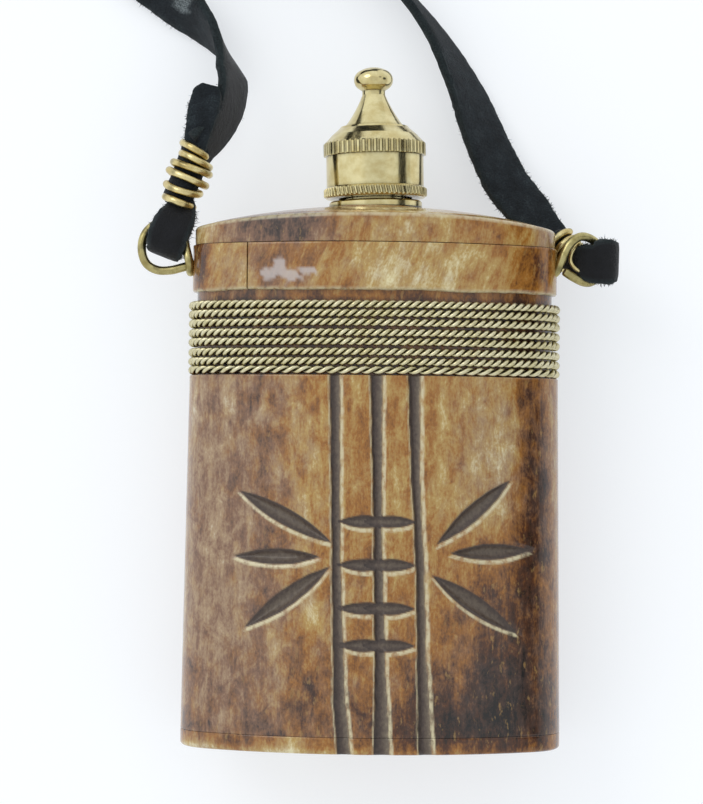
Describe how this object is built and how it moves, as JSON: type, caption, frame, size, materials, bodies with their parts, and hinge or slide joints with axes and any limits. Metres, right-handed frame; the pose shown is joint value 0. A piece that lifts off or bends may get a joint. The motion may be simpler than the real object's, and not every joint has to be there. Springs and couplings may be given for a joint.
{
  "type": "pendant snuff bottle",
  "caption": "Flat oval carved bone bottle with a wire-bound shoulder, a brass screw cap with ball finial, side eyes and a leather neck thong.",
  "frame": {"origin": "middle of the bottle's length and width, on the surface that its back lies on", "axes": "+Y along the bottle's axis towards the cap, +Z out of the carved front, +X to the right seen from the front"},
  "size_m": [0.0858, 0.1722, 0.0228],
  "materials": {
    "bone": "polished stained bone, mottled brown to cream, dark in the cuts",
    "brass": "polished turned brass",
    "brass_wire": "drawn brass wire, dark in the gaps",
    "thong_leather": "black lace leather, smooth on one side and suede on the other",
    "seal_leather": "undyed leather"
  },
  "bodies": {
    "bottle": {"base_plate": "bone", "binding_left": "brass_wire", "binding_right": "brass_wire", "bottle_body": "bone", "collar_back": "bone", "collar_front": "bone", "eye_pin_left": "brass_wire", "eye_pin_right": "brass_wire", "neck": "brass", "neck_washer": "brass", "thong_coil": "thong_leather", "thong_left_fold": "thong_leather", "thong_left_run": "thong_leather", "thong_right_fold": "thong_leather", "thong_right_run": "thong_leather", "top_plate": "bone", "wire_turn_1": "brass_wire", "wire_turn_2": "brass_wire", "wire_turn_3": "brass_wire", "wire_turn_4": "brass_wire", "wire_turn_5": "brass_wire", "wire_turn_6": "brass_wire", "wire_turn_7": "brass_wire", "wire_turn_8": "brass_wire"},
    "seal": {"cap_seal": "seal_leather"},
    "cap": {"screw_cap": "brass"}
  },
  "joints": [
    {"name": "cap_rise", "type": "slide", "parent": "bottle", "child": "seal", "axis": [-0.0279, 0.9996, 0], "range_m": [0, 0.00575]},
    {"name": "cap_turn", "type": "hinge", "parent": "seal", "child": "cap", "pos_m": [0, 0.024, 0.0114], "axis": [-0.0279, 0.9996, 0], "range_deg": [0, 1656.1]}
  ],
  "couplings": [
    {"joint": "cap_turn", "follows": "cap_rise", "rad_per_m": 5026.5}
  ]
}
